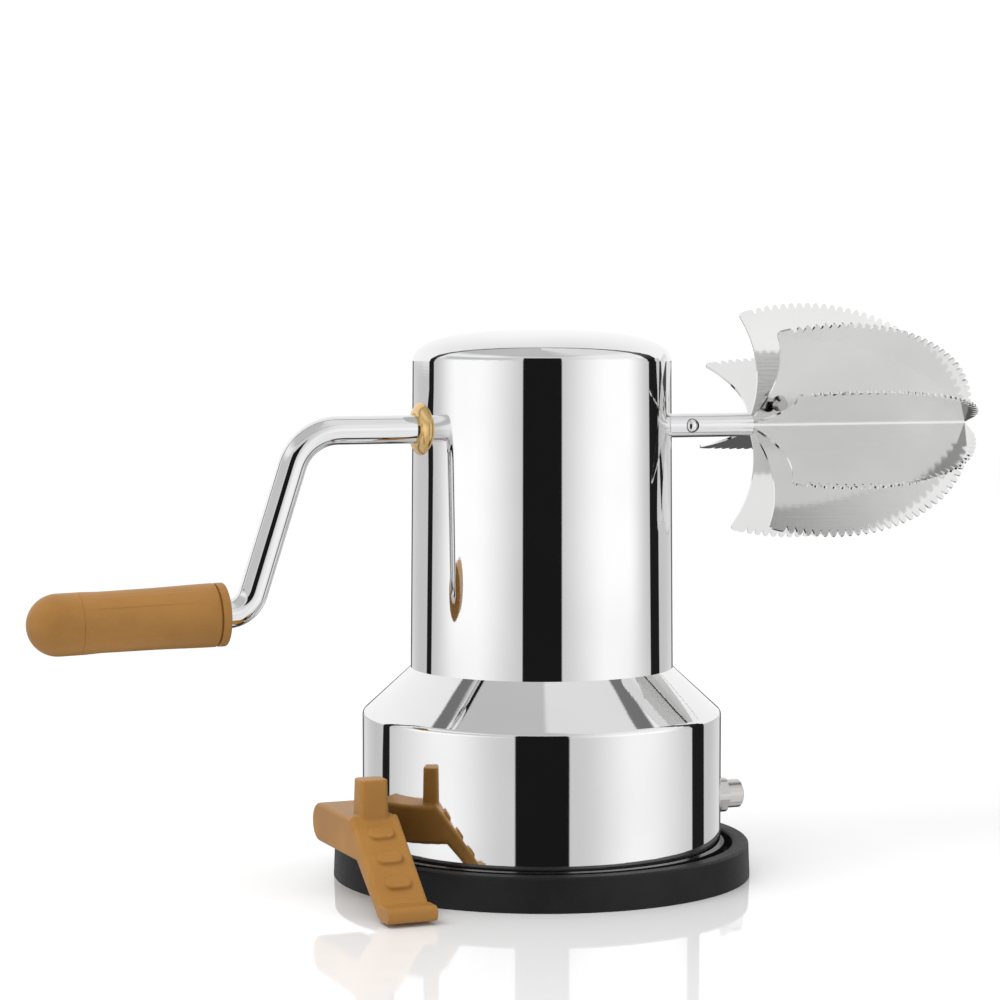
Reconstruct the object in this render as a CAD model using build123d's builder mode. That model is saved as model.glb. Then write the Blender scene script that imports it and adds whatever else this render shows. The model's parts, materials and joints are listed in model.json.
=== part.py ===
from build123d import *

import os
from math import atan2, cos, hypot, radians, sin, sqrt

# Hand-cranked rotary coconut scraper on a lever-operated suction base.
# Millimetres, +Z up. The origin is the centre of the suction ring's underside.
# X runs along the crank shaft: the crank is at -X and the blades are at +X.
# The suction lever is outside the -X wall and its paddle leans out to -Y.

# --- Driving dimensions -------------------------------------------------------

# Fits
SLIP = 0.05  # radial running fit of a shaft in its bush
PART_GAP = 0.2  # gap between faces that only pass each other
SEAT_GAP = 0.1  # gap under a nut or inside a sleeve that is assembled by hand

# Suction ring and pad
RING_DRAFT = 0.4
RING_HEIGHT = 9.7
RING_WALL = 5.0
RING_GAP = 2.4  # groove between the ring's wall and the trim
RING_LIP = 10.0
RING_EDGE_R = 0.7
PAD_INSET = 5.6  # the pad's rim lies this far inside the base housing's wall
PAD_SEAT_Z = 2.5
PAD_SEAT_T = 3.0
PAD_WEB_T = 2.1
PAD_WEB_RISE = 1.6
PAD_BOSS_R = 12.0
PAD_BOSS_FLARE = 2.0
PAD_LIFT = 3.96
PAD_RELEASED_Z = 0.34
PAD_BOSS_T = 3.0
INSERT_R = 9.0
INSERT_T = 1.2
INSERT_COVER = 0.9

# Base housing: cylinder, cone and neck in one steel shell
SHELL = 0.8
BASE_R = 51.6
BASE_HEIGHT = 37.5
CONE_HEIGHT = 12.75
CONE_EDGE_R = 2.0
NECK_HEIGHT = 6.5
TRIM_HEIGHT = 4.0
TRIM_OVERHANG = 1.0
TRIM_LEDGE_T = 1.5
TRIM_LEDGE_WIDTH = 5.0
PLATE_T = 1.5
PLATE_HOLE_R = 18.0

# Upper housing: slightly tapered can with a crowned top
CAN_R = 37.7
CAN_TAPER = 0.7
CAN_HEIGHT = 96.85
CROWN_HEIGHT = 9.1
CROWN_LIFT = 0.75  # how far the wall's line carries on up into the crown
CROWN_SPREAD = 0.6  # how far the crown's flat top reaches towards its corner

# Base screws and their lugs
SCREW_INSET = 7.6
SCREW_R = 1.5
SCREW_CLEARANCE = 0.2
SCREW_HEAD_R = 3.0
SCREW_HEAD_H = 1.8
SCREW_HEAD_ROOM = 0.4
SCREW_SLOT = 0.7
SCREW_SLOT_L = 4.2
LUG_T = 2.0
LUG_LEG_H = 10.0
LUG_REACH = 6.0
LUG_ARC = 18.0

# Crank shaft
AXIS_DEPTH = 28.2  # the crank's axis below the top of the can
ROD_R = 4.0
SPIGOT_R = 2.8
BUSH_WALL = 1.5
BUSH_LENGTH = 8.0
TUBE_WALL = 1.5
TUBE_GAP = 0.12
FLANGE_RIM = 2.0
FLANGE_T = 1.8
FLANGE_EDGE_T = 0.9
NOSE_WALL = 1.2
NOSE_PROUD = 1.7
WASHER_T = 1.0
COLLAR_WIDTH = 6.0
COLLAR_GAP = 0.3
SET_SCREW_DIP = 1.0  # how far the collar's screw enters the rod
SET_SCREW_KEY_R = 0.8

# Crank arm and grip
ARM_GAP = 34.3
ARM_SLANT = 16.2
THROW = 50.0
BEND_1_R = 14.0
BEND_2_R = 8.0
GRIP_DROOP = 1.4
GRIP_START = 6.8
GRIP_LENGTH = 54.8
GRIP_R = 8.8
GRIP_TAPER = 0.3
SPINDLE_R = 3.0
SPINDLE_OVERLAP = 0.5
GRIP_FLANGE_T = 2.4
GRIP_FLANGE_EDGE_R = 0.4
GRIP_PLUG_R = 6.0
GRIP_PLUG_L = 2.0
END_CAP_SKIRT = 5.5
END_CAP_WALL = 1.5
RETAINER_T = 1.0
RETAINER_RIM = 0.6
RETAINER_BACK = 2.2  # from the spindle's end to the retainer

# Blade head
SOCKET_GAP = 0.8
SOCKET_WALL = 0.65
SOCKET_LENGTH = 26.8
DETENT_FROM_SOCKET = 6.9
BALL_R = 2.0
BALL_PROUD = 0.7
SPRING_R = 1.5
SPRING_WIRE = 0.5
CORE_R = 1.25
CORE_PLUG = 4.3
CORE_GAP = 2.0
SHEET_T = 0.7
FOLD_T = 0.35  # the sheet is coined thin where it folds round the core
FOLD_HALF_ANGLE = 22.5
BLADE_ANGLES = {
    "blade_top": 12.7,
    "blade_front": 96.4,
    "blade_bottom": 175.8,
    "blade_back": 278.8,
}
WING_GAP = 0.5
WING_REAR_BULGE = 4.4
ELLIPSE_FROM_REAR = 20.9
ELLIPSE_LENGTH = 53.2
ELLIPSE_HEIGHT = 36.6
CORNER_T = 114.9
CORNER_R = 1.3
TIP_T = 3.0
TIP_REACH = 0.4
PLAIN_EDGE = 4.5
TOOTH_PITCH = 2.8
TOOTH_DEPTH = 2.1
TOOTH_SHAPE = [(0.0, 0.0), (0.16, 0.06), (0.28, 0.3), (0.5, 1.0), (0.72, 0.3), (0.84, 0.06)]
RIVET_FROM_REAR = 7.5
RIVET_RADIUS = 7.6
RIVET_SHANK_R = 1.2
RIVET_HEAD_R = 2.4
RIVET_HEAD_T = 1.6
RIVET_HEAD_DRAFT = 18.0

# Suction lever
LEVER_SHAFT_R = 3.5
LEVER_THREAD_R = 3.0
LEVER_BUSH_WALL = 1.1
LEVER_BUSH_FLANGE_R = 7.0
LEVER_BUSH_FLANGE_T = 2.5
LEVER_BUSH_PROUD = 0.6
LEVER_GAP = 2.4
LEVER_WIDTH = 14.0
LEVER_END_WALL = 2.0
HUB_WALL = 1.9
ELBOW_Y = -27.2
ELBOW_RISE = 0.5
PADDLE_TIP_Y = -53.3
PADDLE_TIP_Z = 3.0
PADDLE_T = 6.2
PADDLE_TIP_T = 4.0
PADDLE_EDGE_R = 1.0
LIP_DEPTH = 4.8
LIP_ROOT = 3.0
LIP_T = 4.2
LIP_Z = 0.9
POST_FRONT_Y = -28.4
POST_HEIGHT = 15.6
POST_WIDTH = 7.8
POST_DEPTH = 7.2
POST_DRAFT = 0.4
POST_EDGE_R = 1.6
BUMP_WIDTH = 8.0
BUMP_LENGTH = 4.6
BUMP_HEIGHT = 1.2
BUMP_DRAFT = 20.0
BUMP_PITCH = 8.65
FIRST_BUMP = 6.9
NUT_AF = 10.0
NUT_T = 5.2
NUT_CORNER = 0.35
LEVER_WASHER_R = 6.0
LEVER_WASHER_T = 0.8
END_NUT_R = 4.2
END_NUT_L = 5.2
END_NUT_CAP = 1.0
END_NUT_EDGE = 0.4

# Cam and yoke that lift the pad
CAM_WALL = 1.7
CAM_WIDTH = 10.0
CAM_HUB_WALL = 2.5
CAM_HUB_L = 6.0
YOKE_WIDTH = 8.0
YOKE_WALL = 2.5
YOKE_CORNER_R = 3.0
YOKE_CLEARANCE = 0.3
YOKE_SIDE_ROOM = 0.9
STUD_R = 2.45
YOKE_NUT_AF = 8.0
YOKE_NUT_T = 2.38
PIN_R = 1.25
PIN_END_GAP = 0.3

# --- Values worked out from the driving dimensions ----------------------------

# Heights
PAD_LOCKED_Z = PAD_RELEASED_Z + PAD_LIFT
PAD_BOSS_TOP_Z = PAD_LOCKED_Z + PAD_BOSS_T
INSERT_TOP_Z = PAD_BOSS_TOP_Z - INSERT_COVER
TRIM_Z = PAD_SEAT_Z + PAD_SEAT_T
BASE_Z = TRIM_Z + TRIM_HEIGHT
PLATE_TOP_Z = BASE_Z + PLATE_T
CONE_Z = BASE_Z + BASE_HEIGHT
CAN_Z = CONE_Z + CONE_HEIGHT
CAN_TOP_Z = CAN_Z + CAN_HEIGHT
CAN_SHOULDER_Z = CAN_TOP_Z - CROWN_HEIGHT
AXIS_Z = CAN_TOP_Z - AXIS_DEPTH

# Radii of the base
INNER_BASE_R = BASE_R - SHELL
CONE_SLOPE = CONE_HEIGHT / (BASE_R - CAN_R)
SCREW_CIRCLE_R = BASE_R - SCREW_INSET
PAD_R = BASE_R - PAD_INSET
RING_R = BASE_R + TRIM_OVERHANG + RING_GAP + RING_WALL
CAN_TOP_R = CAN_R - CAN_TAPER

# Shaft, tube and bushes
ROD_BORE_R = ROD_R + SLIP
SPIGOT_BORE_R = SPIGOT_R + SLIP
TUBE_BORE_R = ROD_R + BUSH_WALL
TUBE_R = TUBE_BORE_R + TUBE_WALL
TUBE_END_X = sqrt((CAN_TOP_R - SHELL) ** 2 - TUBE_R**2) - TUBE_GAP
FLANGE_R = TUBE_BORE_R + FLANGE_RIM
NOSE_R = SPIGOT_R + NOSE_WALL
NOSE_END_X = CAN_TOP_R + NOSE_PROUD
WASHER_X = TUBE_END_X - BUSH_LENGTH - PART_GAP - WASHER_T
SPIGOT_X = WASHER_X - PART_GAP
COLLAR_X = -TUBE_END_X + BUSH_LENGTH + PART_GAP
COLLAR_MIDDLE_X = COLLAR_X + COLLAR_WIDTH / 2

# Crank arm and grip, the grip's stations being distances along its own axis
BEND_1_X = -CAN_R - ARM_GAP
BEND_2_X = BEND_1_X - ARM_SLANT
BEND_2_Z = AXIS_Z - THROW
SPINDLE_END = GRIP_START + GRIP_LENGTH - END_CAP_SKIRT - GRIP_R - 1
RETAINER_START = SPINDLE_END - RETAINER_BACK
GRIP_END = GRIP_START + GRIP_LENGTH
FLANGE_END = GRIP_START + GRIP_FLANGE_T
DOME_R = GRIP_R - GRIP_TAPER
CAP_START = GRIP_END - DOME_R - END_CAP_SKIRT

# Blade head
SOCKET_X = NOSE_END_X + SOCKET_GAP
SOCKET_END_X = SOCKET_X + SOCKET_LENGTH
SOCKET_R = SPIGOT_BORE_R + SOCKET_WALL
DETENT_X = SOCKET_X + DETENT_FROM_SOCKET
BALL_Y = BALL_R - SOCKET_R - BALL_PROUD
CORE_START_X = SOCKET_END_X - CORE_PLUG
SPIGOT_END_X = CORE_START_X - CORE_GAP
WING_REAR_X = SOCKET_END_X + WING_GAP
ELLIPSE_X = WING_REAR_X + ELLIPSE_FROM_REAR
RIVET_X = WING_REAR_X + RIVET_FROM_REAR

# Cam, yoke and lever
CAM_OFFSET = PAD_LIFT / 2
CAM_SWING = sqrt(2) * CAM_OFFSET
CAM_R = LEVER_SHAFT_R + CAM_SWING + CAM_WALL
CAM_HUB_R = LEVER_SHAFT_R + CAM_HUB_WALL
YOKE_BOTTOM_Z = PAD_BOSS_TOP_Z + SEAT_GAP + YOKE_NUT_T + PART_GAP
YOKE_Z = YOKE_BOTTOM_Z + YOKE_WALL + YOKE_CLEARANCE + CAM_R
LEVER_Z = YOKE_Z - CAM_OFFSET
LEVER_BUSH_R = LEVER_SHAFT_R + LEVER_BUSH_WALL
HUB_R = LEVER_SHAFT_R + HUB_WALL
HUB_TOP_Z = LEVER_Z + HUB_R
HUB_BOTTOM_Z = LEVER_Z - HUB_R
HUB_END_X = -BASE_R - LEVER_GAP
LEVER_X = HUB_END_X - LEVER_WIDTH
LEVER_MIDDLE_X = LEVER_X + LEVER_WIDTH / 2
CAM_PIN_X = (CAM_WIDTH + CAM_HUB_L) / 2
ELBOW_Z = HUB_TOP_Z + ELBOW_RISE
POST_TOP_Z = LEVER_Z + POST_HEIGHT
PADDLE_LEAN = atan2(ELBOW_Y - PADDLE_TIP_Y, ELBOW_Z - PADDLE_TIP_Z)
LEVER_BUSH_END_X = BASE_R + LEVER_BUSH_PROUD
THREAD_X = LEVER_BUSH_END_X + PART_GAP
NUT_X = THREAD_X + LEVER_WASHER_T
END_NUT_X = NUT_X + NUT_T
END_NUT_END_X = END_NUT_X + END_NUT_L
LEVER_SHAFT_END_X = END_NUT_END_X - END_NUT_CAP

CRANK_AXIS = Axis((0, 0, AXIS_Z), (1, 0, 0))
LEVER_AXIS = Axis((0, 0, LEVER_Z), (1, 0, 0))
GRIP_DIRECTION = (-cos(radians(GRIP_DROOP)), 0, -sin(radians(GRIP_DROOP)))
GRIP_PLANE = Plane(origin=(BEND_2_X, 0, BEND_2_Z), x_dir=GRIP_DIRECTION, z_dir=(0, -1, 0))
GRIP_AXIS = Axis((BEND_2_X, 0, BEND_2_Z), GRIP_DIRECTION)

os.makedirs("parts", exist_ok=True)


# --- Helpers -------------------------------------------------------------------


def save(piece, name):
    """Label a finished piece and write it as its own STEP file."""
    piece.part.label = name
    export_step(piece.part, f"parts/{name}.step")


def outline(points, plane=Plane.XZ):
    """A closed straight-sided face on a plane."""
    with BuildSketch(plane) as face:
        with BuildLine():
            Polyline(*points, close=True)
        make_face()
    return face.sketch


def along_x(points, height):
    """The face of a piece turned about X, from its (x, radius) points."""
    return outline([(x, height + radius) for x, radius in points])


def sleeve(start, end, bore, radius):
    """The (length, radius) corners of a plain ring."""
    return [(start, bore), (start, radius), (end, radius), (end, bore)]


def wing_plane(angle):
    """The plane through the crank axis at an angle from +Z towards -Y."""
    turn = radians(angle)
    return Plane(origin=(0, 0, AXIS_Z), x_dir=(1, 0, 0), z_dir=(0, -cos(turn), -sin(turn)))


def can_profile(inset):
    """The filled half section of the can, drawn in by the shell's thickness."""
    with BuildSketch(Plane.XZ) as face:
        with BuildLine():
            shoulder = (CAN_TOP_R - inset, CAN_SHOULDER_Z)
            wall = Polyline((0, CAN_Z), (CAN_R - inset, CAN_Z), shoulder)
            top = CAN_TOP_Z - inset
            crown = Bezier(
                shoulder,
                (CAN_TOP_R - inset, CAN_SHOULDER_Z + CROWN_LIFT * (top - CAN_SHOULDER_Z)),
                (CROWN_SPREAD * CAN_TOP_R, top),
                (0, top),
            )
            Line(crown @ 1, wall @ 0)
        make_face()
    return face.sketch


def ellipse_point(turn, inset):
    """A point of the blade's outer edge, set in along the edge's normal."""
    normal = (cos(turn) / ELLIPSE_LENGTH, sin(turn) / ELLIPSE_HEIGHT)
    size = hypot(*normal)
    return (
        ELLIPSE_X + ELLIPSE_LENGTH * cos(turn) - inset * normal[0] / size,
        ELLIPSE_HEIGHT * sin(turn) - inset * normal[1] / size,
    )


def edge_turns(distances):
    """The ellipse parameters at increasing distances along the edge from its corner."""
    turns = []
    turn = radians(CORNER_T)
    travelled = 0.0
    step = radians(0.02)
    for distance in distances:
        while travelled < distance and turn > radians(TIP_T):
            travelled += step * hypot(ELLIPSE_LENGTH * sin(turn), ELLIPSE_HEIGHT * cos(turn))
            turn -= step
        turns.append(turn)
    return turns


def toothed_edge():
    """The wing's outer edge from the rear corner to the tip."""
    span = sqrt((ELLIPSE_LENGTH**2 + ELLIPSE_HEIGHT**2) / 2) * radians(CORNER_T - TIP_T)
    count = int((span - PLAIN_EDGE) / TOOTH_PITCH) - 1
    points = [ellipse_point(turn, 0) for turn in edge_turns([0, 0.5 * PLAIN_EDGE])]
    marks = []
    for tooth in range(count):
        marks += [(PLAIN_EDGE + TOOTH_PITCH * (tooth + along), depth) for along, depth in TOOTH_SHAPE]
    turns = edge_turns([distance for distance, _ in marks])
    points += [ellipse_point(turn, TOOTH_DEPTH * depth) for turn, (_, depth) in zip(turns, marks)]
    return [point for point in points if point[1] > CORE_R + SHEET_T]


WING_EDGE = toothed_edge()


def wing_face(angle):
    """One flat wing of a folded blade sheet."""
    corner = WING_EDGE[0]
    tip = (WING_EDGE[-1][0] + TIP_REACH, CORE_R)
    with BuildSketch(wing_plane(angle)) as face:
        with BuildLine():
            rear = Line((WING_REAR_X, CORE_R), (WING_REAR_X, CORE_R + SHEET_T))
            middle = ((WING_REAR_X + corner[0]) / 2 + WING_REAR_BULGE, (corner[1] + CORE_R) / 2)
            ThreePointArc(rear @ 1, middle, corner)
            Polyline(*WING_EDGE, tip, rear @ 0)
        make_face()
        fillet(face.vertices().sort_by_distance(corner)[0], CORNER_R)
    return face.sketch


# --- Suction ring and pad -------------------------------------------------------

with BuildPart() as suction_ring:
    top_r = RING_R - RING_DRAFT
    revolve(
        outline(
            [
                (RING_R - RING_LIP, 0),
                (RING_R, 0),
                (top_r, RING_HEIGHT),
                (RING_R - RING_WALL, RING_HEIGHT),
                (RING_R - RING_WALL, TRIM_Z),
                (PAD_R, TRIM_Z),
                (PAD_R, PAD_SEAT_Z),
                (RING_R - RING_LIP, PAD_SEAT_Z),
            ]
        ),
        axis=Axis.Z,
    )
    fillet(suction_ring.edges().filter_by(GeomType.CIRCLE).group_by(Axis.Z)[-1], RING_EDGE_R)
save(suction_ring, "suction_ring")

with BuildPart() as suction_diaphragm:
    web_top = PAD_SEAT_Z + PAD_WEB_T
    revolve(
        outline(
            [
                (0, PAD_LOCKED_Z),
                (PAD_BOSS_R + PAD_BOSS_FLARE, PAD_LOCKED_Z),
                (PAD_R, PAD_SEAT_Z + SEAT_GAP),
                (PAD_R, web_top),
                (PAD_BOSS_R + PAD_BOSS_FLARE, web_top + PAD_WEB_RISE),
                (PAD_BOSS_R, PAD_BOSS_TOP_Z),
                (STUD_R + SLIP, PAD_BOSS_TOP_Z),
                (STUD_R + SLIP, INSERT_TOP_Z),
                (INSERT_R, INSERT_TOP_Z),
                (INSERT_R, INSERT_TOP_Z - INSERT_T),
                (0, INSERT_TOP_Z - INSERT_T),
            ]
        ),
        axis=Axis.Z,
    )
save(suction_diaphragm, "suction_diaphragm")

# --- Base: trim, plate, housing, lugs and screws -----------------------------------

with BuildPart() as base_trim:
    revolve(
        outline(
            [
                (SCREW_CIRCLE_R + SCREW_HEAD_R, TRIM_Z),
                (BASE_R + TRIM_OVERHANG, TRIM_Z),
                (BASE_R + TRIM_OVERHANG, BASE_Z),
                (SCREW_CIRCLE_R - TRIM_LEDGE_WIDTH, BASE_Z),
                (SCREW_CIRCLE_R - TRIM_LEDGE_WIDTH, BASE_Z - TRIM_LEDGE_T),
                (SCREW_CIRCLE_R + SCREW_HEAD_R + SCREW_HEAD_ROOM, BASE_Z - TRIM_LEDGE_T),
            ]
        ),
        axis=Axis.Z,
    )
    with BuildSketch(Plane.XY.offset(TRIM_Z)):
        with PolarLocations(SCREW_CIRCLE_R, 4, start_angle=45):
            Circle(SCREW_R + SCREW_CLEARANCE)
    extrude(amount=TRIM_HEIGHT, mode=Mode.SUBTRACT)
save(base_trim, "base_trim")

with BuildPart() as base_plate:
    with BuildSketch(Plane.XY.offset(BASE_Z)):
        Circle(INNER_BASE_R - PART_GAP)
        Circle(PLATE_HOLE_R, mode=Mode.SUBTRACT)
        with PolarLocations(SCREW_CIRCLE_R, 4, start_angle=45):
            Circle(SCREW_R + SCREW_CLEARANCE, mode=Mode.SUBTRACT)
    extrude(amount=PLATE_T)
save(base_plate, "base_plate")

with BuildPart() as base_housing:
    neck_r = CAN_R - SHELL - SEAT_GAP
    lean = SHELL * hypot(1, CONE_SLOPE)
    cone_foot = CONE_Z + SHELL * CONE_SLOPE - lean
    cone_head = CONE_Z + (BASE_R - neck_r + SHELL) * CONE_SLOPE - lean
    revolve(
        outline(
            [
                (BASE_R, BASE_Z),
                (BASE_R, CONE_Z),
                (CAN_R, CAN_Z),
                (neck_r, CAN_Z),
                (neck_r, CAN_Z + NECK_HEIGHT),
                (neck_r - SHELL, CAN_Z + NECK_HEIGHT),
                (neck_r - SHELL, cone_head),
                (INNER_BASE_R, cone_foot),
                (INNER_BASE_R, BASE_Z),
            ]
        ),
        axis=Axis.Z,
    )
    rims = base_housing.edges().filter_by(GeomType.CIRCLE)
    cone_rim = rims.filter_by(lambda rim: abs(rim.radius - BASE_R) < SLIP).sort_by(Axis.Z)[-1]
    fillet(cone_rim, CONE_EDGE_R)
    with BuildSketch(Plane.YZ):
        with Locations((0, LEVER_Z)):
            Circle(LEVER_BUSH_R)
    extrude(amount=BASE_R, both=True, mode=Mode.SUBTRACT)
save(base_housing, "base_housing")

with BuildPart() as fixing_lugs:
    for corner in range(4):
        lug_plane = Plane.XZ.rotated((0, 0, 45 + 90 * corner - LUG_ARC / 2))
        revolve(
            outline(
                [
                    (SCREW_CIRCLE_R - LUG_REACH, PLATE_TOP_Z),
                    (INNER_BASE_R, PLATE_TOP_Z),
                    (INNER_BASE_R, PLATE_TOP_Z + LUG_LEG_H),
                    (INNER_BASE_R - LUG_T, PLATE_TOP_Z + LUG_LEG_H),
                    (INNER_BASE_R - LUG_T, PLATE_TOP_Z + LUG_T),
                    (SCREW_CIRCLE_R - LUG_REACH, PLATE_TOP_Z + LUG_T),
                ],
                lug_plane,
            ),
            axis=Axis.Z,
            revolution_arc=LUG_ARC,
        )
    with BuildSketch(Plane.XY.offset(PLATE_TOP_Z)):
        with PolarLocations(SCREW_CIRCLE_R, 4, start_angle=45):
            Circle(SCREW_R)
    extrude(amount=LUG_T, mode=Mode.SUBTRACT)
save(fixing_lugs, "fixing_lugs")

with BuildPart() as base_screws:
    head_z = BASE_Z - TRIM_LEDGE_T
    with BuildSketch(Plane.XY.offset(head_z)):
        with PolarLocations(SCREW_CIRCLE_R, 4, start_angle=45):
            Circle(SCREW_HEAD_R)
    extrude(amount=-SCREW_HEAD_H)
    with BuildSketch(Plane.XY.offset(head_z)):
        with PolarLocations(SCREW_CIRCLE_R, 4, start_angle=45):
            Circle(SCREW_R)
    extrude(amount=PLATE_TOP_Z + LUG_T + SCREW_R - head_z)
    with BuildSketch(Plane.XY.offset(head_z - SCREW_HEAD_H)):
        with PolarLocations(SCREW_CIRCLE_R, 4, start_angle=45):
            Rectangle(SCREW_SLOT_L, SCREW_SLOT)
            Rectangle(SCREW_SLOT, SCREW_SLOT_L)
    extrude(amount=SCREW_HEAD_H / 2, mode=Mode.SUBTRACT)
save(base_screws, "base_screws")

# --- Upper housing and the crank's bearings ----------------------------------------

with BuildPart() as upper_housing:
    revolve(can_profile(0), axis=Axis.Z)
    revolve(can_profile(SHELL), axis=Axis.Z, mode=Mode.SUBTRACT)
    with BuildSketch(Plane.YZ):
        with Locations((0, AXIS_Z)):
            Circle(NOSE_R)
    extrude(amount=CAN_R, mode=Mode.SUBTRACT)
    with BuildSketch(Plane.YZ):
        with Locations((0, AXIS_Z)):
            Circle(TUBE_BORE_R)
    extrude(amount=-CAN_R, mode=Mode.SUBTRACT)
save(upper_housing, "upper_housing")

with BuildPart() as bearing_tube:
    revolve(along_x(sleeve(-TUBE_END_X, TUBE_END_X, TUBE_BORE_R, TUBE_R), AXIS_Z), axis=CRANK_AXIS)
save(bearing_tube, "bearing_tube")

with BuildPart() as crank_bush:
    wall_x = -CAN_TOP_R - PART_GAP
    rim_x = -sqrt(CAN_TOP_R**2 - FLANGE_R**2)
    with BuildSketch(Plane.XZ):
        with BuildLine():
            back = Polyline(
                (rim_x - FLANGE_EDGE_T, AXIS_Z + FLANGE_R),
                (rim_x, AXIS_Z + FLANGE_R),
                (rim_x, AXIS_Z + ROD_BORE_R),
                (wall_x - FLANGE_T, AXIS_Z + ROD_BORE_R),
            )
            dome = (wall_x - FLANGE_T * 0.85, AXIS_Z + (ROD_BORE_R + FLANGE_R) / 2)
            ThreePointArc(back @ 1, dome, back @ 0)
        make_face()
    revolve(axis=CRANK_AXIS)
    revolve(can_profile(0), axis=Axis.Z, mode=Mode.SUBTRACT)
    barrel = sleeve(wall_x, -TUBE_END_X + BUSH_LENGTH, ROD_BORE_R, TUBE_BORE_R)
    revolve(along_x(barrel, AXIS_Z), axis=CRANK_AXIS)
save(crank_bush, "crank_bush")

with BuildPart() as blade_bush:
    revolve(
        along_x(
            [
                (TUBE_END_X - BUSH_LENGTH, SPIGOT_BORE_R),
                (TUBE_END_X - BUSH_LENGTH, TUBE_BORE_R),
                (TUBE_END_X, TUBE_BORE_R),
                (TUBE_END_X, NOSE_R),
                (NOSE_END_X, NOSE_R),
                (NOSE_END_X, SPIGOT_BORE_R),
            ],
            AXIS_Z,
        ),
        axis=CRANK_AXIS,
    )
save(blade_bush, "blade_bush")

# --- Crank rod and what is fixed on it -----------------------------------------------

with BuildPart() as crank_rod:
    rod_end = GRIP_START - 2 * PART_GAP
    with BuildLine(Plane.XZ) as rod_path:
        FilletPolyline(
            (SPIGOT_X, AXIS_Z),
            (BEND_1_X, AXIS_Z),
            (BEND_2_X, BEND_2_Z),
            (BEND_2_X + rod_end * GRIP_DIRECTION[0], BEND_2_Z + rod_end * GRIP_DIRECTION[2]),
            radius=[BEND_1_R, BEND_2_R],
        )
    with BuildSketch(Plane.YZ.offset(SPIGOT_X)):
        with Locations((0, AXIS_Z)):
            Circle(ROD_R)
    sweep()
    with BuildSketch(Plane.YZ.offset(SPIGOT_X)):
        with Locations((0, AXIS_Z)):
            Circle(SPIGOT_R)
    extrude(amount=SPIGOT_END_X - SPIGOT_X)
    spindle = sleeve(GRIP_START - SPINDLE_OVERLAP, SPINDLE_END, 0, SPINDLE_R)
    revolve(outline(spindle, GRIP_PLANE), axis=GRIP_AXIS)
    with BuildSketch(Plane.XZ.offset(-BALL_R)):
        with Locations((DETENT_X, AXIS_Z)):
            Circle(BALL_R + SLIP)
    extrude(amount=2 * SPIGOT_R, mode=Mode.SUBTRACT)
    with BuildSketch(Plane.XY.offset(AXIS_Z + ROD_R - SET_SCREW_DIP)):
        with Locations((COLLAR_MIDDLE_X, 0)):
            Circle(SCREW_R)
    extrude(amount=2 * SET_SCREW_DIP, mode=Mode.SUBTRACT)
save(crank_rod, "crank_rod")

with BuildPart() as thrust_washer:
    washer = sleeve(WASHER_X, WASHER_X + WASHER_T, SPIGOT_BORE_R, TUBE_BORE_R - COLLAR_GAP)
    revolve(along_x(washer, AXIS_Z), axis=CRANK_AXIS)
save(thrust_washer, "thrust_washer")

with BuildPart() as shaft_collar:
    collar = sleeve(COLLAR_X, COLLAR_X + COLLAR_WIDTH, ROD_R, TUBE_BORE_R - COLLAR_GAP)
    revolve(along_x(collar, AXIS_Z), axis=CRANK_AXIS)
    with BuildSketch(Plane.XY.offset(AXIS_Z)):
        with Locations((COLLAR_MIDDLE_X, 0)):
            Circle(SCREW_R)
    extrude(amount=TUBE_BORE_R, mode=Mode.SUBTRACT)
save(shaft_collar, "shaft_collar")

with BuildPart() as collar_screw:
    screw_top = TUBE_BORE_R - COLLAR_GAP - SEAT_GAP
    with BuildSketch(Plane.XY.offset(AXIS_Z + ROD_R - SET_SCREW_DIP)):
        with Locations((COLLAR_MIDDLE_X, 0)):
            Circle(SCREW_R)
    extrude(amount=screw_top - ROD_R + SET_SCREW_DIP)
    with BuildSketch(Plane.XY.offset(AXIS_Z + screw_top)):
        with Locations((COLLAR_MIDDLE_X, 0)):
            RegularPolygon(SET_SCREW_KEY_R, 6)
    extrude(amount=-SET_SCREW_KEY_R, mode=Mode.SUBTRACT)
save(collar_screw, "collar_screw")

with BuildPart() as grip_retainer:
    ring = sleeve(RETAINER_START, RETAINER_START + RETAINER_T, SPINDLE_R, GRIP_PLUG_R - RETAINER_RIM)
    revolve(outline(ring, GRIP_PLANE), axis=GRIP_AXIS)
save(grip_retainer, "grip_retainer")

# --- Grip ----------------------------------------------------------------------------

with BuildPart() as grip_flange:
    revolve(
        outline(
            [
                (GRIP_START, SPINDLE_R + SLIP),
                (GRIP_START, GRIP_R),
                (FLANGE_END, GRIP_R),
                (FLANGE_END, GRIP_PLUG_R),
                (FLANGE_END + GRIP_PLUG_L, GRIP_PLUG_R),
                (FLANGE_END + GRIP_PLUG_L, SPINDLE_R + SLIP),
            ],
            GRIP_PLANE,
        ),
        axis=GRIP_AXIS,
    )
    rim = grip_flange.faces().filter_by(GeomType.CYLINDER).sort_by(SortBy.AREA)[-1]
    fillet(rim.edges(), GRIP_FLANGE_EDGE_R)
save(grip_flange, "grip_flange")

with BuildPart() as grip_sleeve:
    recess_start = RETAINER_START - COLLAR_GAP
    revolve(
        outline(
            [
                (FLANGE_END, GRIP_PLUG_R),
                (FLANGE_END, GRIP_R),
                (CAP_START, DOME_R),
                (CAP_START, GRIP_PLUG_R),
                (recess_start, GRIP_PLUG_R),
                (recess_start, SPINDLE_R + SLIP),
                (FLANGE_END + GRIP_PLUG_L, SPINDLE_R + SLIP),
                (FLANGE_END + GRIP_PLUG_L, GRIP_PLUG_R),
            ],
            GRIP_PLANE,
        ),
        axis=GRIP_AXIS,
    )
save(grip_sleeve, "grip_sleeve")

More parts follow.
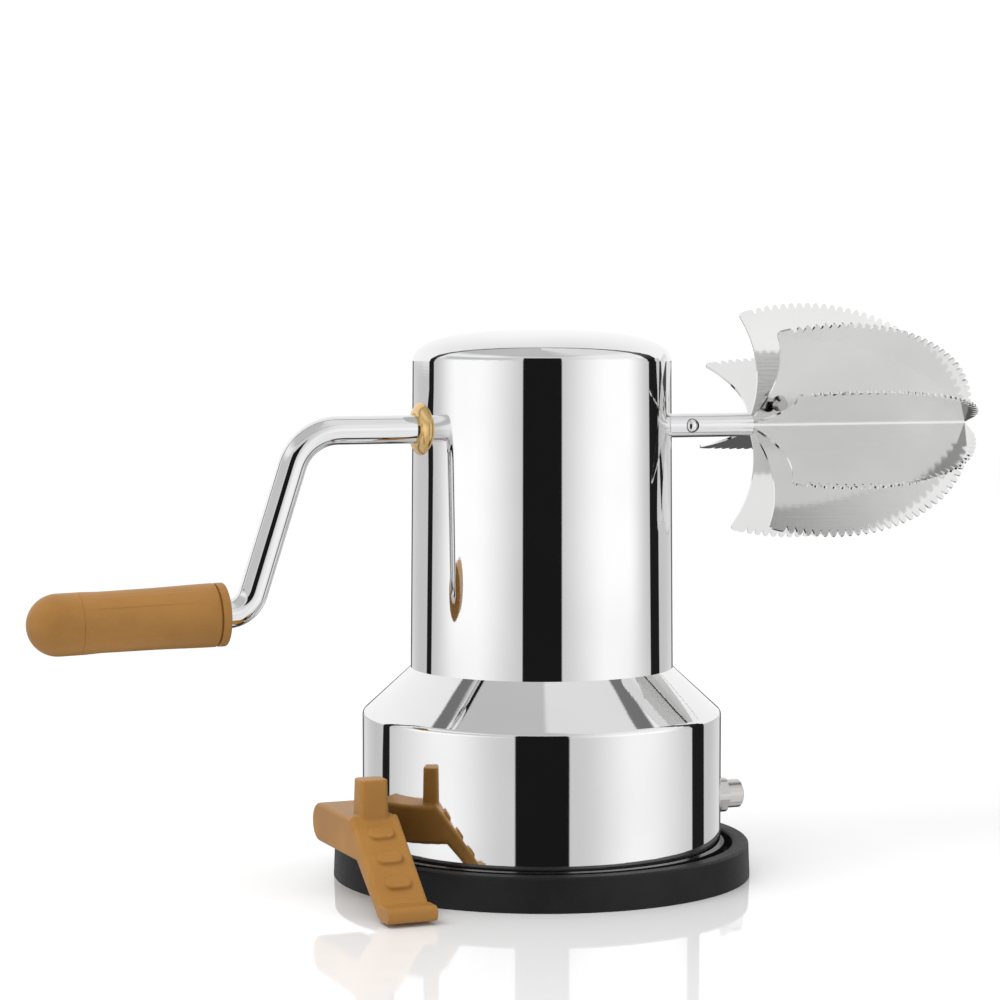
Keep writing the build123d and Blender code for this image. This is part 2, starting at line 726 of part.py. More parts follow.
with BuildPart() as grip_end_cap:
    plug_start = RETAINER_START + RETAINER_T + COLLAR_GAP
    cavity_r = GRIP_PLUG_R - END_CAP_WALL
    dome_centre = GRIP_END - DOME_R
    with BuildSketch(GRIP_PLANE):
        with BuildLine():
            skirt = Polyline(
                (SPINDLE_END + 1 + cavity_r / 2, 0),
                (SPINDLE_END + 1, cavity_r),
                (plug_start, cavity_r),
                (plug_start, GRIP_PLUG_R),
                (CAP_START, GRIP_PLUG_R),
                (CAP_START, DOME_R),
                (dome_centre, DOME_R),
            )
            dome = CenterArc((dome_centre, 0), DOME_R, 0, 90)
            Line(dome @ 0, skirt @ 0)
        make_face()
    revolve(axis=GRIP_AXIS)
save(grip_end_cap, "grip_end_cap")

# --- Blade head -------------------------------------------------------------------------

with BuildPart() as detent_ball:
    with BuildSketch(Plane.XZ.offset(-BALL_Y)):
        with Locations((DETENT_X, AXIS_Z)):
            Circle(BALL_R)
        with Locations((DETENT_X, AXIS_Z - BALL_R)):
            Rectangle(2 * BALL_R, 2 * BALL_R, mode=Mode.SUBTRACT)
    revolve(axis=Axis((DETENT_X, BALL_Y, AXIS_Z), (1, 0, 0)))
save(detent_ball, "detent_ball")

with BuildPart() as detent_spring:
    spring_bore_r = SPRING_R - SPRING_WIRE
    spring_length = BALL_R - BALL_Y - sqrt(BALL_R**2 - spring_bore_r**2) - SLIP
    with BuildSketch(Plane.XZ.offset(-BALL_R)):
        with Locations((DETENT_X, AXIS_Z)):
            Circle(SPRING_R)
            Circle(spring_bore_r, mode=Mode.SUBTRACT)
    extrude(amount=spring_length)
save(detent_spring, "detent_spring")

with BuildPart() as blade_socket:
    revolve(along_x(sleeve(SOCKET_X, SOCKET_END_X, SPIGOT_BORE_R, SOCKET_R), AXIS_Z), axis=CRANK_AXIS)
    with BuildSketch(Plane.XZ):
        with Locations((DETENT_X, AXIS_Z)):
            Circle(BALL_R + SLIP)
    extrude(amount=2 * SOCKET_R, mode=Mode.SUBTRACT)
save(blade_socket, "blade_socket")

with BuildPart() as blade_core:
    core_end = WING_EDGE[-1][0]
    revolve(
        along_x(
            [
                (CORE_START_X, 0),
                (CORE_START_X, SPIGOT_BORE_R),
                (SOCKET_END_X, SPIGOT_BORE_R),
                (SOCKET_END_X, CORE_R),
                (core_end, CORE_R),
                (core_end + 1, 0),
            ],
            AXIS_Z,
        ),
        axis=CRANK_AXIS,
    )
save(blade_core, "blade_core")

RIVETED = "blade_top"
rivet_plane = wing_plane(BLADE_ANGLES[RIVETED])
rivet_reach = RIVET_RADIUS * sin(radians(FOLD_HALF_ANGLE))
rivet_height = RIVET_RADIUS * cos(radians(FOLD_HALF_ANGLE))

with BuildPart() as blade_rivet:
    with BuildSketch(rivet_plane):
        with Locations((RIVET_X, rivet_height)):
            Circle(RIVET_SHANK_R)
    extrude(amount=rivet_reach + SHEET_T, both=True)
    for side in (-1, 1):
        with BuildSketch(rivet_plane.offset(side * rivet_reach)):
            with Locations((RIVET_X, rivet_height)):
                Circle(RIVET_HEAD_R)
        extrude(amount=side * (SHEET_T + RIVET_HEAD_T), taper=RIVET_HEAD_DRAFT)

for name, angle in BLADE_ANGLES.items():
    with BuildPart() as blade:
        for side in (-FOLD_HALF_ANGLE, FOLD_HALF_ANGLE):
            extrude(wing_face(angle + side), amount=SHEET_T / 2, both=True)
        fold = sleeve(WING_REAR_X, WING_EDGE[-1][0], CORE_R, CORE_R + FOLD_T)
        revolve(
            outline(fold, wing_plane(angle - FOLD_HALF_ANGLE)),
            axis=CRANK_AXIS,
            revolution_arc=2 * FOLD_HALF_ANGLE,
        )
        if name == RIVETED:
            with BuildSketch(rivet_plane):
                with Locations((RIVET_X, rivet_height)):
                    Circle(RIVET_SHANK_R)
            extrude(amount=2 * RIVET_RADIUS, both=True, mode=Mode.SUBTRACT)
    save(blade, name)
    if name == RIVETED:
        with blade_rivet:
            add(blade.part, mode=Mode.SUBTRACT)
save(blade_rivet, "blade_rivet")

# --- Suction lever -----------------------------------------------------------------------

paddle_in = (cos(PADDLE_LEAN), -sin(PADDLE_LEAN))
paddle_plane = Plane(
    origin=(LEVER_MIDDLE_X, ELBOW_Y, ELBOW_Z),
    x_dir=(1, 0, 0),
    z_dir=(0, -paddle_in[0], -paddle_in[1]),
)
elbow_back = (ELBOW_Y + PADDLE_T * paddle_in[0], ELBOW_Z + PADDLE_T * paddle_in[1])
tip_back = (PADDLE_TIP_Y + PADDLE_TIP_T * paddle_in[0], PADDLE_TIP_Z + PADDLE_TIP_T * paddle_in[1])
back_slope = (elbow_back[0] - tip_back[0]) / (elbow_back[1] - tip_back[1])
heel_y = tip_back[0] + (LIP_Z - tip_back[1]) * back_slope
inner_elbow_y = tip_back[0] + (HUB_BOTTOM_Z - tip_back[1]) * back_slope

with BuildPart() as lever_handle:
    with BuildSketch(Plane.YZ.offset(LEVER_X)):
        with BuildLine():
            Polyline(
                (0, HUB_TOP_Z),
                (ELBOW_Y + 2 * ELBOW_RISE, HUB_TOP_Z),
                (ELBOW_Y, ELBOW_Z),
                (PADDLE_TIP_Y, PADDLE_TIP_Z),
                (PADDLE_TIP_Y, LIP_Z),
                (heel_y, LIP_Z),
                (inner_elbow_y, HUB_BOTTOM_Z),
                (0, HUB_BOTTOM_Z),
                close=True,
            )
        make_face()
        with Locations((0, LEVER_Z)):
            Circle(HUB_R)
    extrude(amount=LEVER_WIDTH)
    fillet(lever_handle.faces().filter_by(Axis.X).edges(), PADDLE_EDGE_R)
    with BuildSketch(Plane.YZ.offset(LEVER_X)):
        with Locations((PADDLE_TIP_Y - LIP_DEPTH, LIP_Z)):
            RectangleRounded(LIP_DEPTH + LIP_ROOT, LIP_T, LIP_T / 2.5, align=(Align.MIN, Align.MIN))
    extrude(amount=LEVER_WIDTH)
    for height, draft in ((LEVER_Z, 2 * POST_DRAFT), (POST_TOP_Z, 0)):
        with BuildSketch(Plane.XY.offset(height)):
            with Locations((LEVER_MIDDLE_X, POST_FRONT_Y + POST_DEPTH / 2)):
                RectangleRounded(POST_WIDTH + draft, POST_DEPTH + draft, POST_EDGE_R)
    loft()
    with BuildSketch(paddle_plane):
        with GridLocations(0, BUMP_PITCH, 1, 3):
            with Locations((0, -BUMP_PITCH - FIRST_BUMP)):
                SlotOverall(BUMP_WIDTH, BUMP_LENGTH)
    extrude(amount=BUMP_HEIGHT, taper=BUMP_DRAFT)
    with BuildSketch(Plane.YZ.offset(HUB_END_X)):
        with Locations((0, LEVER_Z)):
            Circle(LEVER_SHAFT_R)
    extrude(amount=LEVER_END_WALL - LEVER_WIDTH, mode=Mode.SUBTRACT)
    with BuildSketch(Plane.XY.offset(HUB_BOTTOM_Z)):
        with Locations((LEVER_MIDDLE_X, 0)):
            Circle(PIN_R)
    extrude(amount=HUB_R + LEVER_SHAFT_R + PIN_END_GAP, mode=Mode.SUBTRACT)
save(lever_handle, "lever_handle")

with BuildPart() as lever_shaft:
    revolve(
        along_x(
            [
                (LEVER_X + LEVER_END_WALL, 0),
                (LEVER_X + LEVER_END_WALL, LEVER_SHAFT_R),
                (THREAD_X, LEVER_SHAFT_R),
                (THREAD_X, LEVER_THREAD_R),
                (LEVER_SHAFT_END_X, LEVER_THREAD_R),
                (LEVER_SHAFT_END_X, 0),
            ],
            LEVER_Z,
        ),
        axis=LEVER_AXIS,
    )
    with BuildSketch(Plane.XY.offset(LEVER_Z)):
        with Locations((LEVER_MIDDLE_X, 0), (CAM_PIN_X, 0)):
            Circle(PIN_R)
    extrude(amount=LEVER_SHAFT_R, both=True, mode=Mode.SUBTRACT)
save(lever_shaft, "lever_shaft")

for name, side in {"lever_bush_left": -1, "lever_bush_right": 1}.items():
    with BuildPart() as bush:
        flange_face = side * sqrt(INNER_BASE_R**2 - LEVER_BUSH_FLANGE_R**2)
        revolve(
            along_x(
                [
                    (flange_face - side * LEVER_BUSH_FLANGE_T, LEVER_SHAFT_R + SLIP),
                    (flange_face - side * LEVER_BUSH_FLANGE_T, LEVER_BUSH_FLANGE_R),
                    (flange_face, LEVER_BUSH_FLANGE_R),
                    (flange_face, LEVER_BUSH_R),
                    (side * LEVER_BUSH_END_X, LEVER_BUSH_R),
                    (side * LEVER_BUSH_END_X, LEVER_SHAFT_R + SLIP),
                ],
                LEVER_Z,
            ),
            axis=LEVER_AXIS,
        )
    save(bush, name)

with BuildPart() as lever_pin:
    with BuildSketch(Plane.XY.offset(HUB_BOTTOM_Z + PIN_END_GAP)):
        with Locations((LEVER_MIDDLE_X, 0)):
            Circle(PIN_R)
    extrude(amount=HUB_R + LEVER_SHAFT_R - PIN_END_GAP)
save(lever_pin, "lever_pin")

with BuildPart() as lever_washer:
    revolve(along_x(sleeve(THREAD_X, NUT_X, LEVER_THREAD_R, LEVER_WASHER_R), LEVER_Z), axis=LEVER_AXIS)
save(lever_washer, "lever_washer")

with BuildPart() as lever_nut:
    with BuildSketch(Plane.YZ.offset(NUT_X)):
        with Locations((0, LEVER_Z)):
            RegularPolygon(NUT_AF / 2, 6, major_radius=False)
            Circle(LEVER_THREAD_R, mode=Mode.SUBTRACT)
    extrude(amount=NUT_T)
    with BuildSketch(Plane.YZ.offset(NUT_X)):
        with Locations((0, LEVER_Z)):
            Circle(NUT_AF / 2 + NUT_CORNER)
    extrude(amount=NUT_T, mode=Mode.INTERSECT)
save(lever_nut, "lever_nut")

with BuildPart() as lever_end_nut:
    revolve(
        along_x(
            [
                (END_NUT_X, LEVER_THREAD_R),
                (END_NUT_X, END_NUT_R),
                (END_NUT_END_X - END_NUT_EDGE, END_NUT_R),
                (END_NUT_END_X, END_NUT_R - END_NUT_EDGE),
                (END_NUT_END_X, 0),
                (LEVER_SHAFT_END_X, 0),
                (LEVER_SHAFT_END_X, LEVER_THREAD_R),
            ],
            LEVER_Z,
        ),
        axis=LEVER_AXIS,
    )
save(lever_end_nut, "lever_end_nut")

# --- Cam and yoke that lift the pad -----------------------------------------------------

with BuildPart() as lever_cam:
    with BuildSketch(Plane.YZ.offset(-CAM_WIDTH / 2)):
        with Locations((CAM_OFFSET, LEVER_Z + CAM_OFFSET)):
            Circle(CAM_R)
    extrude(amount=CAM_WIDTH)
    with BuildSketch(Plane.YZ.offset(CAM_WIDTH / 2)):
        with Locations((0, LEVER_Z)):
            Circle(CAM_HUB_R)
    extrude(amount=CAM_HUB_L)
    with BuildSketch(Plane.YZ):
        with Locations((0, LEVER_Z)):
            Circle(LEVER_SHAFT_R)
    extrude(amount=CAM_WIDTH + CAM_HUB_L, both=True, mode=Mode.SUBTRACT)
    with BuildSketch(Plane.XY.offset(LEVER_Z)):
        with Locations((CAM_PIN_X, 0)):
            Circle(PIN_R)
    extrude(amount=CAM_HUB_R, both=True, mode=Mode.SUBTRACT)
save(lever_cam, "lever_cam")

with BuildPart() as cam_pin:
    with BuildSketch(Plane.XY.offset(LEVER_Z)):
        with Locations((CAM_PIN_X, 0)):
            Circle(PIN_R)
    extrude(amount=CAM_HUB_R - PIN_END_GAP, both=True)
save(cam_pin, "cam_pin")

with BuildPart() as pull_yoke:
    window_width = 2 * (CAM_R + YOKE_SIDE_ROOM) + CAM_SWING - CAM_OFFSET
    window_height = 2 * (CAM_R + YOKE_CLEARANCE)
    stud_bottom = INSERT_TOP_Z - INSERT_T
    with BuildSketch(Plane.YZ.offset(-YOKE_WIDTH / 2)):
        with Locations(((CAM_OFFSET + CAM_SWING) / 2, YOKE_Z)):
            RectangleRounded(window_width + 2 * YOKE_WALL, window_height + 2 * YOKE_WALL, YOKE_CORNER_R)
            Rectangle(window_width, window_height, mode=Mode.SUBTRACT)
    extrude(amount=YOKE_WIDTH)
    with BuildSketch(Plane.XY.offset(stud_bottom)):
        Circle(STUD_R)
    extrude(amount=YOKE_BOTTOM_Z + YOKE_WALL / 2 - stud_bottom)
save(pull_yoke, "pull_yoke")

with BuildPart() as pad_insert:
    with BuildSketch(Plane.XY.offset(INSERT_TOP_Z - INSERT_T)):
        Circle(INSERT_R)
        Circle(STUD_R, mode=Mode.SUBTRACT)
    extrude(amount=INSERT_T)
save(pad_insert, "pad_insert")

with BuildPart() as yoke_nut:
    with BuildSketch(Plane.XY.offset(PAD_BOSS_TOP_Z + SEAT_GAP)):
        RegularPolygon(YOKE_NUT_AF / 2, 6, major_radius=False)
        Circle(STUD_R, mode=Mode.SUBTRACT)
    extrude(amount=YOKE_NUT_T)
save(yoke_nut, "yoke_nut")
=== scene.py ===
import json
import math

import bmesh
import bpy
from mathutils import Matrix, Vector


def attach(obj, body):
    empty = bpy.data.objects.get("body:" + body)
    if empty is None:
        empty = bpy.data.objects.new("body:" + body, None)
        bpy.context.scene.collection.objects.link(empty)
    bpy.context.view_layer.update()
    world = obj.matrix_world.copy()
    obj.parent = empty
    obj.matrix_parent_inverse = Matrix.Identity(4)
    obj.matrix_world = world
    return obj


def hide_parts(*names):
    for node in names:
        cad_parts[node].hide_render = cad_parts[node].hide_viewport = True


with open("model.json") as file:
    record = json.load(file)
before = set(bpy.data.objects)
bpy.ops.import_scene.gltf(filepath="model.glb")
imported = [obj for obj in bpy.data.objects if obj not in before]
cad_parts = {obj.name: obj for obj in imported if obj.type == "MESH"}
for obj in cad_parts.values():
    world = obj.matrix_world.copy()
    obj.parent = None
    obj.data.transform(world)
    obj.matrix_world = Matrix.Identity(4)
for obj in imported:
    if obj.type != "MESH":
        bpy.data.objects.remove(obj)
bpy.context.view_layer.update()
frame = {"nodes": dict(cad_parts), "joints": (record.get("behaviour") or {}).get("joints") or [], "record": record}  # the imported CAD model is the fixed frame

MM = 0.001

# --- Camera and floor, in metres and radians -----------------------------------------------

CAMERA_AZIMUTH = math.radians(23)
CAMERA_DISTANCE = 0.800
CAMERA_HEIGHT = 0.1564
CAMERA_YAW = 0.015
CAMERA_PITCH = 0.061
CAMERA_LENS = 100.47  # mm
SENSOR_WIDTH = 36.0  # mm
FLOOR_SIZE = 30.0
FLOOR_COLOUR = (0.87, 0.87, 0.87, 1)

# --- Studio panels, which the polished steel mirrors ---------------------------------------
# A share is the share of white that steel shows on a display, and a strength is the sky's own.
# Bearings are degrees to the right of the camera's side, elevations are degrees above level.
# Two numbers are where a change starts and ends; a third one in a window is its soft edge.

DISPLAY_OFFSET = 0.055
DISPLAY_POWER = 2.4
STEEL_TINT = 0.88

WALL = {"near": 0.60, "bright": 1.0, "dim": 0.76, "rear": 0.86,
        "rise": (-25, 63), "fall": (80, 112), "back": (130, 185)}
LOW_WALL = {"near": 0.79, "bright": 0.955, "dim": 0.75, "rear": 0.84,
            "rise": (20, 62), "fall": (65, 130), "back": (130, 160)}
LOW_WALL_TOP = (-8.5, -3.5)

GROUND_TURN = (-30, 30)
GROUND_LEFT_SHARE = 0.78
GROUND_RIGHT_SHARE = 0.90
GROUND_TOP = (-30, -12)
GROUND_LINE = (-62, -57, 2.0)
GROUND_LINE_STRENGTH = 0.30

CEILING_EDGE = (10, 20)
LOW_CEILING_TURN = (10, 60)
LOW_CEILING_SHARES = (0.79, 0.93)
HIGH_CEILING_EDGE = (36, 52)
HIGH_CEILING_TURN = (5, 45)
HIGH_CEILING_SHARES = (0.73, 0.86)
LEFT_PANEL_BEARING = (-100, -22, 8.0)
LEFT_PANEL_ELEVATION = (12, 28, 4.0)
LEFT_PANEL_SHARE = 0.76
BEAM_ELEVATION = (42, 45, 1.5)
BEAM_END = (25, 60)
BEAM_SHARE = 0.60
STRIP_BEARING = (-16.5, 17.5, 0.6)
STRIP_TOP = (26, 29)
STRIP_STRENGTH = 0.010

REAR_RISE = (15, 80)
REAR_STRENGTH = 1.0
REAR_TOP_SHARE = 0.88
REAR_FOOT = (-0.6, 0.0)
REAR_DARK_TURN = (159, 165)
REAR_DARK_STRENGTH = 0.10

# The dark seam between the front and rear panels, in the sky's own unit directions
SEAM_LEAN = 0.21  # how far the seam comes forward as it rises
SEAM_SIDES = (-0.5, 0.5)
SEAM_START = {"left": 0.365, "right": 0.335, "high": 0.40}
SEAM_END = {"left": 0.475, "right": 0.550, "high": 0.46}
SEAM_NARROWS = (0.3, 0.95)
SEAM_SOFT = 0.015
PANEL_CHANGE = (0.43, 0.46)
SEAM_RISE = (0.1, 0.9)
SEAM_STRENGTHS = (0.013, 0.19)
SEAM_CROWN = (0.93, 0.99)
SEAM_CROWN_STRENGTH = 0.2

DIFFUSE_STRENGTH = 1.12
BACKDROP_STRENGTH = 1.3

# --- Materials and the rounding of plastic ---------------------------------------------------

BUMP_DISTANCE = 0.2 * MM
STEEL_CLOUDS = 35.0  # patches per metre
PLASTIC_CLOUDS = 60.0
HANDLE_VOXEL = 0.25 * MM
HANDLE_ROUNDS = 9
WELD_DISTANCE = 1e-6

# --- Grip sleeve: four shallow flats, a groove by the flange and soft ends --------------------

FLAT_HALF_ANGLE = 31.5
FLAT_EDGE_ANGLE = 1.2
FLAT_DEPTH = 0.22 * MM
FLAT_START, FLAT_START_RUN = 0.03, 0.12  # shares of the sleeve's length
FLAT_FADE, FLAT_FADE_RUN = 0.55, 0.35
GROOVE_WIDTH = 0.5 * MM
GROOVE_DEPTH = 0.5 * MM
SLEEVE_EDGE = 0.25 * MM
EDGE_TURNS = (0.4, 0.8, 1.2)  # radians round a soft edge
SLEEVE_TURNS = 360
SLEEVE_STEPS = 160


# --- Shader helpers ----------------------------------------------------------------------------


class Graph:
    """Adds nodes to a shader tree and joins their sockets."""

    def __init__(self, tree):
        self.tree = tree
        tree.nodes.clear()

    def node(self, kind, inputs=None, **settings):
        made = self.tree.nodes.new("ShaderNode" + kind)
        for name, value in settings.items():
            setattr(made, name, value)
        for name, value in (inputs or {}).items():
            self.feed(made.inputs[name], value)
        return made

    def feed(self, socket, value):
        if isinstance(value, bpy.types.NodeSocket):
            self.tree.links.new(value, socket)
        else:
            socket.default_value = value

    def math(self, operation, first, second=0.0):
        made = self.node("Math", operation=operation)
        self.feed(made.inputs[0], first)
        self.feed(made.inputs[1], second)
        return made.outputs[0]

    def step(self, value, start, end, low=0.0, high=1.0):
        """A smooth change from low to high as value goes from start to end."""
        inputs = {"Value": value, "From Min": start, "From Max": end, "To Min": low, "To Max": high}
        return self.node("MapRange", inputs, interpolation_type="SMOOTHSTEP").outputs[0]

    def window(self, value, start, end, soft):
        """1 between start and end, falling to 0 over a soft edge on both sides."""
        rise = self.step(value, start - soft, start + soft)
        fall = self.step(value, end - soft, end + soft, 1.0, 0.0)
        return self.math("MULTIPLY", rise, fall)

    def mix(self, factor, low, high):
        """A blend of two numbers."""
        made = self.node("Mix", data_type="FLOAT")
        for socket, value in zip((made.inputs[0], made.inputs[2], made.inputs[3]), (factor, low, high)):
            self.feed(socket, value)
        return made.outputs[0]

    def colour_mix(self, factor, low, high, blend="MIX"):
        """A blend of two colours."""
        made = self.node("Mix", data_type="RGBA", blend_type=blend)
        for socket, value in zip((made.inputs[0], made.inputs[6], made.inputs[7]), (factor, low, high)):
            self.feed(socket, value)
        return made.outputs[2]


def shown(share):
    """The sky's strength that steel shows as this share of white."""
    return ((share + DISPLAY_OFFSET) / (1 + DISPLAY_OFFSET)) ** DISPLAY_POWER / STEEL_TINT


# --- Studio: camera, sky, floor and lamp ---------------------------------------------------------


def make_camera():
    right = Vector((math.cos(CAMERA_AZIMUTH), -math.sin(CAMERA_AZIMUTH), 0))
    away = Vector((math.sin(CAMERA_AZIMUTH), math.cos(CAMERA_AZIMUTH), 0))
    up = Vector((0, 0, 1))
    level = away * math.cos(CAMERA_YAW) - right * math.sin(CAMERA_YAW)
    forward = level * math.cos(CAMERA_PITCH) - up * math.sin(CAMERA_PITCH)
    camera = bpy.data.objects.new("camera", bpy.data.cameras.new("camera"))
    camera.data.lens = CAMERA_LENS
    camera.data.sensor_width = SENSOR_WIDTH
    camera.location = -CAMERA_DISTANCE * away + CAMERA_HEIGHT * up
    camera.rotation_mode = "QUATERNION"
    camera.rotation_quaternion = forward.to_track_quat("-Z", "Y")
    bpy.context.scene.collection.objects.link(camera)
    bpy.context.scene.camera = camera


def side_panel(graph, off_axis, near, bright, dim, rear, rise, fall, back):
    """A wall that is bright at the side of the camera, dim past it and brighter again at the rear."""
    share = graph.step(off_axis, *rise, near, bright)
    share = graph.mix(graph.step(off_axis, *fall), share, dim)
    share = graph.mix(graph.step(off_axis, *back), share, rear)
    scaled = graph.math("DIVIDE", graph.math("ADD", share, DISPLAY_OFFSET), 1 + DISPLAY_OFFSET)
    return graph.math("DIVIDE", graph.math("POWER", scaled, DISPLAY_POWER), STEEL_TINT)


def side_walls(graph, bearing, off_axis, elevation):
    """The walls level with the object, with the ground below them."""
    wall = side_panel(graph, off_axis, **WALL)
    low_wall = side_panel(graph, off_axis, **LOW_WALL)
    walls = graph.mix(graph.step(elevation, *LOW_WALL_TOP), low_wall, wall)
    ground = graph.step(bearing, *GROUND_TURN, shown(GROUND_LEFT_SHARE), shown(GROUND_RIGHT_SHARE))
    ground = graph.mix(graph.window(elevation, *GROUND_LINE), ground, GROUND_LINE_STRENGTH)
    return graph.mix(graph.step(elevation, *GROUND_TOP), ground, walls)


def front_panels(graph, walls, bearing, off_axis, elevation):
    """The camera's side: the walls, a ceiling, a grey panel on the left, a beam and a dark strip."""
    low_ceiling = graph.step(off_axis, *LOW_CEILING_TURN, *map(shown, LOW_CEILING_SHARES))
    high_ceiling = graph.step(bearing, *HIGH_CEILING_TURN, *map(shown, HIGH_CEILING_SHARES))
    ceiling = graph.mix(graph.step(elevation, *HIGH_CEILING_EDGE), low_ceiling, high_ceiling)
    front = graph.mix(graph.step(elevation, *CEILING_EDGE), walls, ceiling)

    panel_sides = graph.window(bearing, *LEFT_PANEL_BEARING)
    left_panel = graph.math("MULTIPLY", panel_sides, graph.window(elevation, *LEFT_PANEL_ELEVATION))
    front = graph.mix(left_panel, front, shown(LEFT_PANEL_SHARE))

    beam_ends = graph.step(off_axis, *BEAM_END, 1.0, 0.0)
    beam = graph.math("MULTIPLY", graph.window(elevation, *BEAM_ELEVATION), beam_ends)
    front = graph.mix(beam, front, shown(BEAM_SHARE))

    strip_end = graph.step(elevation, *STRIP_TOP, 1.0, 0.0)
    strip = graph.math("MULTIPLY", graph.window(bearing, *STRIP_BEARING), strip_end)
    return graph.mix(strip, front, STRIP_STRENGTH)


def rear_panels(graph, walls, off_axis, elevation):
    """The side away from the camera: bright above level, with a dark gap low down in the middle."""
    upper = graph.step(elevation, *REAR_RISE, REAR_STRENGTH, shown(REAR_TOP_SHARE))
    lower = graph.mix(graph.step(off_axis, *REAR_DARK_TURN), walls, REAR_DARK_STRENGTH)
    return graph.mix(graph.step(elevation, *REAR_FOOT), lower, upper)


def join_panels(graph, front, rear, side, away, height):
    """The front and rear panels with the dark seam between them, which narrows as it rises."""
    seam = graph.math("ADD", away, graph.math("MULTIPLY", height, SEAM_LEAN))
    right = graph.step(side, *SEAM_SIDES)
    narrow = graph.step(height, *SEAM_NARROWS)
    start = graph.mix(narrow, graph.mix(right, SEAM_START["left"], SEAM_START["right"]), SEAM_START["high"])
    end = graph.mix(narrow, graph.mix(right, SEAM_END["left"], SEAM_END["right"]), SEAM_END["high"])
    into_dark = graph.step(seam, graph.math("SUBTRACT", start, SEAM_SOFT), start)
    out_of_dark = graph.step(seam, end, graph.math("ADD", end, SEAM_SOFT), 1.0, 0.0)
    dark = graph.math("MULTIPLY", into_dark, out_of_dark)
    crown = graph.step(height, *SEAM_CROWN, 0.0, SEAM_CROWN_STRENGTH)
    strength = graph.math("ADD", graph.step(height, *SEAM_RISE, *SEAM_STRENGTHS), crown)
    return graph.mix(dark, graph.mix(graph.step(seam, *PANEL_CHANGE), front, rear), strength)


def make_sky():
    """Studio panels round the object. Only mirror-like rays see them; the rest see an even sky."""
    world = bpy.data.worlds.new("studio")
    bpy.context.scene.world = world
    world.use_nodes = True
    graph = Graph(world.node_tree)
    direction = graph.node("TexCoord").outputs["Generated"]
    turn = {"Vector": direction, "Angle": CAMERA_AZIMUTH}
    turned = graph.node("VectorRotate", turn, rotation_type="Z_AXIS")
    side, away, height = graph.node("SeparateXYZ", {0: turned.outputs[0]}).outputs
    bearing = graph.math("DEGREES", graph.math("ARCTAN2", side, graph.math("MULTIPLY", away, -1.0)))
    off_axis = graph.math("ABSOLUTE", bearing)
    elevation = graph.math("DEGREES", graph.math("ARCSINE", height))

    walls = side_walls(graph, bearing, off_axis, elevation)
    front = front_panels(graph, walls, bearing, off_axis, elevation)
    rear = rear_panels(graph, walls, off_axis, elevation)
    mirrored = join_panels(graph, front, rear, side, away, height)

    rays = graph.node("LightPath").outputs
    seen = graph.mix(rays["Is Glossy Ray"], DIFFUSE_STRENGTH, mirrored)
    seen = graph.mix(rays["Is Camera Ray"], seen, BACKDROP_STRENGTH)
    background = graph.node("Background", {"Color": (1, 1, 1, 1), "Strength": seen})
    graph.node("OutputWorld", {"Surface": background.outputs[0]})


def make_floor():
    mesh = bpy.data.meshes.new("floor")
    half = FLOOR_SIZE / 2
    corners = [(-half, -half, 0), (half, -half, 0), (half, half, 0), (-half, half, 0)]
    mesh.from_pydata(corners, [], [(0, 1, 2, 3)])
    floor = bpy.data.objects.new("floor", mesh)
    bpy.context.scene.collection.objects.link(floor)
    floor.visible_glossy = False
    material = bpy.data.materials.new("floor")
    material.use_nodes = True
    graph = Graph(material.node_tree)
    shader = graph.node("BsdfPrincipled", {"Base Color": FLOOR_COLOUR, "Roughness": 0.05, "IOR": 1.52})
    graph.node("OutputMaterial", {"Surface": shader.outputs[0]})
    mesh.materials.append(material)


def make_lamp(name, bearing, elevation, distance, size, power):
    """A soft area lamp, its bearing measured from the camera's side towards the right."""
    turn = math.radians(bearing) - CAMERA_AZIMUTH
    rise = math.radians(elevation)
    way = Vector((math.sin(turn) * math.cos(rise), -math.cos(turn) * math.cos(rise), math.sin(rise)))
    lamp = bpy.data.objects.new(name, bpy.data.lights.new(name, "AREA"))
    lamp.data.size = size
    lamp.data.energy = power
    lamp.location = way * distance
    lamp.rotation_mode = "QUATERNION"
    lamp.rotation_quaternion = (-way).to_track_quat("-Z", "Y")
    lamp.visible_glossy = False
    bpy.context.scene.collection.objects.link(lamp)


# --- Materials -----------------------------------------------------------------------------------


def steel(name, tint, roughness, grain, stretch, depth):
    """Bare metal with fine drawn lines: grain is lines per metre across, stretch how long they run."""
    material = bpy.data.materials.new(name)
    material.use_nodes = True
    graph = Graph(material.node_tree)
    place = graph.node("TexCoord").outputs["Object"]
    squeezed = graph.node("Mapping", {"Vector": place, "Scale": stretch}).outputs[0]
    lines = graph.node("TexNoise", {"Vector": squeezed, "Scale": grain, "Detail": 3.0, "Roughness": 0.6})
    clouds = graph.node("TexNoise", {"Vector": place, "Scale": STEEL_CLOUDS, "Detail": 2.0})
    shine = graph.math("MULTIPLY", lines.outputs["Fac"], roughness * 0.5)
    shine = graph.math("ADD", shine, roughness * 0.6)
    shine = graph.math("ADD", shine, graph.math("MULTIPLY", clouds.outputs["Fac"], roughness * 0.25))
    relief = {"Height": lines.outputs["Fac"], "Strength": depth, "Distance": BUMP_DISTANCE}
    bump = graph.node("Bump", relief).outputs[0]
    shade = graph.step(clouds.outputs["Fac"], 0.3, 0.7, 0.96, 1.0)
    grey = graph.node("CombineColor", {0: shade, 1: shade, 2: shade}).outputs[0]
    colour = graph.colour_mix(1.0, (*tint, 1), grey, "MULTIPLY")
    look = {"Base Color": colour, "Metallic": 1.0, "Roughness": shine, "Normal": bump}
    shader = graph.node("BsdfPrincipled", look)
    graph.node("OutputMaterial", {"Surface": shader.outputs[0]})
    return material


